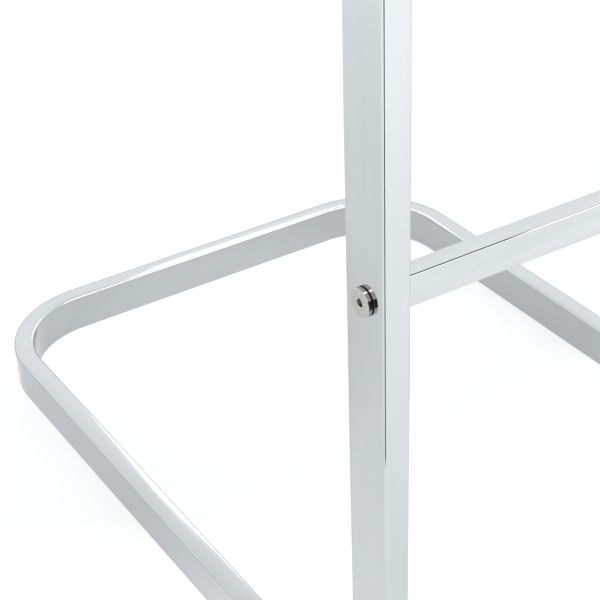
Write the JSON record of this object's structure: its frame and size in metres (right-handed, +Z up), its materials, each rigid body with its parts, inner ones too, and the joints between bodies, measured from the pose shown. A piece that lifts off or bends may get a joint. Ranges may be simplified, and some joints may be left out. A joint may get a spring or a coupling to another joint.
{
  "type": "valet stand",
  "caption": "Free-standing valet stand of chromed flat tube on a U-shaped floor loop, with bolted bars, a tray and a swivelling jacket hanger.",
  "frame": {"origin": "on the floor, in the middle of the footprint", "axes": "+Z up, +X along the bars between the uprights, +Y towards the closed end of the floor loop"},
  "size_m": [0.43, 0.54, 1.1478],
  "materials": {
    "chrome_tube": "polished",
    "nickel_steel": "nickel-plated, fine turned",
    "zinc_steel": "zinc-plated, dull",
    "dark_steel": "dark oxide",
    "clear_grey_plastic": "matt polyethylene",
    "grey_plastic": "smooth moulded",
    "black_rubber": "matt, finely ribbed",
    "black_nylon": "matt",
    "walnut": "oiled, satin",
    "felt": "wool felt"
  },
  "bodies": {
    "frame": {"floor_loop": "chrome_tube", "upright_left": "chrome_tube", "upright_right": "chrome_tube", "crossbar": "chrome_tube", "crossbar_end_plugs": "zinc_steel", "crossbar_spacer_sleeves": "zinc_steel", "crossbar_washers": "dark_steel", "crossbar_bolts": "nickel_steel", "trouser_bar": "chrome_tube", "trouser_bar_end_plugs": "zinc_steel", "trouser_bar_spacer_sleeves": "zinc_steel", "trouser_bar_washers": "dark_steel", "trouser_bar_bolts": "nickel_steel", "top_rail": "chrome_tube", "top_rail_end_plugs": "zinc_steel", "top_rail_spacer_sleeves": "zinc_steel", "top_rail_washers": "dark_steel", "top_rail_bolts": "nickel_steel", "corner_connectors": "zinc_steel", "connector_screws": "nickel_steel", "floor_glides": "clear_grey_plastic", "upright_caps": "grey_plastic", "trouser_bar_grip": "black_rubber", "tray_arm_left": "chrome_tube", "tray_arm_right": "chrome_tube", "tray_arm_screws": "nickel_steel", "tray": "walnut", "tray_liner": "felt", "tray_screws": "nickel_steel", "hanger_stem": "chrome_tube", "stem_plug": "zinc_steel", "stem_washer": "nickel_steel", "stem_bolt": "nickel_steel", "hanger_pivot": "nickel_steel", "friction_washer": "black_nylon", "retaining_washer": "nickel_steel", "retaining_screw": "nickel_steel"},
    "hanger": {"hanger_body": "walnut", "hanger_bush": "black_nylon", "hanger_cap": "chrome_tube"}
  },
  "joints": [
    {"name": "hanger_swivel", "type": "hinge", "parent": "frame", "child": "hanger", "pos_m": [0, -0.255, 1.1], "axis": [0, 0, 1], "continuous": true}
  ]
}
